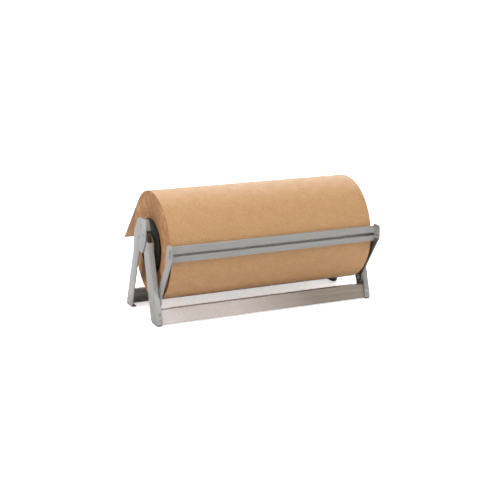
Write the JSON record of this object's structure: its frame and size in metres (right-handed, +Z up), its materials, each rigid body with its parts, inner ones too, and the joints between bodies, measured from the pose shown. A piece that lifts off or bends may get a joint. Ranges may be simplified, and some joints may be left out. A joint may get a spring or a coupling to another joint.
{
  "type": "countertop paper roll dispenser with cutter bar",
  "caption": "Grey sheet steel counter stand carrying a full roll of brown kraft paper, with a sprung, hinged cutter bar pressed against the front of the roll.",
  "frame": {"origin": "on the counter, at the middle of the footprint of the whole dispenser, its loose paper included", "axes": "+X along the roll to the right as seen from the front, -Y to the front where the cutter bar is, +Z up"},
  "size_m": [0.5068, 0.323, 0.2653],
  "materials": {
    "grey_enamel": "satin grey baked enamel with fine orange peel",
    "bright_steel": "plain ground steel",
    "spring_wire": "dark drawn spring wire",
    "black_plastic": "matt black moulded plastic",
    "foot_rubber": "dull grey rubber",
    "kraft_paper": "brown kraft paper, faintly fibrous",
    "core_board": "spirally wound grey-brown board",
    "plug_wood": "turned, unvarnished hardwood"
  },
  "bodies": {
    "stand": {"left_rear_leg": "grey_enamel", "left_front_leg": "grey_enamel", "left_corner_gusset": "grey_enamel", "left_pivot_pin": "grey_enamel", "left_front_foot": "foot_rubber", "left_rear_foot": "foot_rubber", "left_head_rivet_1": "grey_enamel", "left_head_rivet_2": "grey_enamel", "left_front_corner_rivet_1": "grey_enamel", "left_front_corner_rivet_2": "grey_enamel", "left_rear_corner_rivet_1": "grey_enamel", "left_rear_corner_rivet_2": "grey_enamel", "right_rear_leg": "grey_enamel", "right_front_leg": "grey_enamel", "right_corner_gusset": "grey_enamel", "right_pivot_pin": "grey_enamel", "right_front_foot": "foot_rubber", "right_rear_foot": "foot_rubber", "right_head_rivet_1": "grey_enamel", "right_head_rivet_2": "grey_enamel", "right_front_corner_rivet_1": "grey_enamel", "right_front_corner_rivet_2": "grey_enamel", "right_rear_corner_rivet_1": "grey_enamel", "right_rear_corner_rivet_2": "grey_enamel", "front_crossbar": "grey_enamel", "rear_crossbar": "grey_enamel"},
    "cutter": {"left_cutter_arm": "grey_enamel", "left_torsion_spring": "spring_wire", "left_bar_rivet_1": "grey_enamel", "left_bar_rivet_2": "grey_enamel", "right_cutter_arm": "grey_enamel", "right_torsion_spring": "spring_wire", "right_bar_rivet_1": "grey_enamel", "right_bar_rivet_2": "grey_enamel", "cutter_bar": "grey_enamel", "cutting_blade": "bright_steel"},
    "spindle": {"roll_shaft": "bright_steel", "loose_sheet": "kraft_paper"},
    "roll": {"paper_roll": "kraft_paper", "paper_core": "core_board", "left_roll_flange": "black_plastic", "left_core_plug": "plug_wood", "right_roll_flange": "black_plastic", "right_core_plug": "plug_wood"}
  },
  "joints": [
    {"name": "cutter_hinge", "type": "hinge", "parent": "stand", "child": "cutter", "pos_m": [0, -0.08014, 0.046], "axis": [1, 0, 0], "range_deg": [0, 73], "stiffness_Nm_per_rad": 0.6, "springref_deg": -85.94},
    {"name": "roll_lift", "type": "slide", "parent": "stand", "child": "spindle", "axis": [0, 0, 1], "range_m": [0, 0.08]},
    {"name": "roll_turn", "type": "hinge", "parent": "spindle", "child": "roll", "pos_m": [0, -0.02414, 0.151], "axis": [1, 0, 0], "continuous": true}
  ]
}
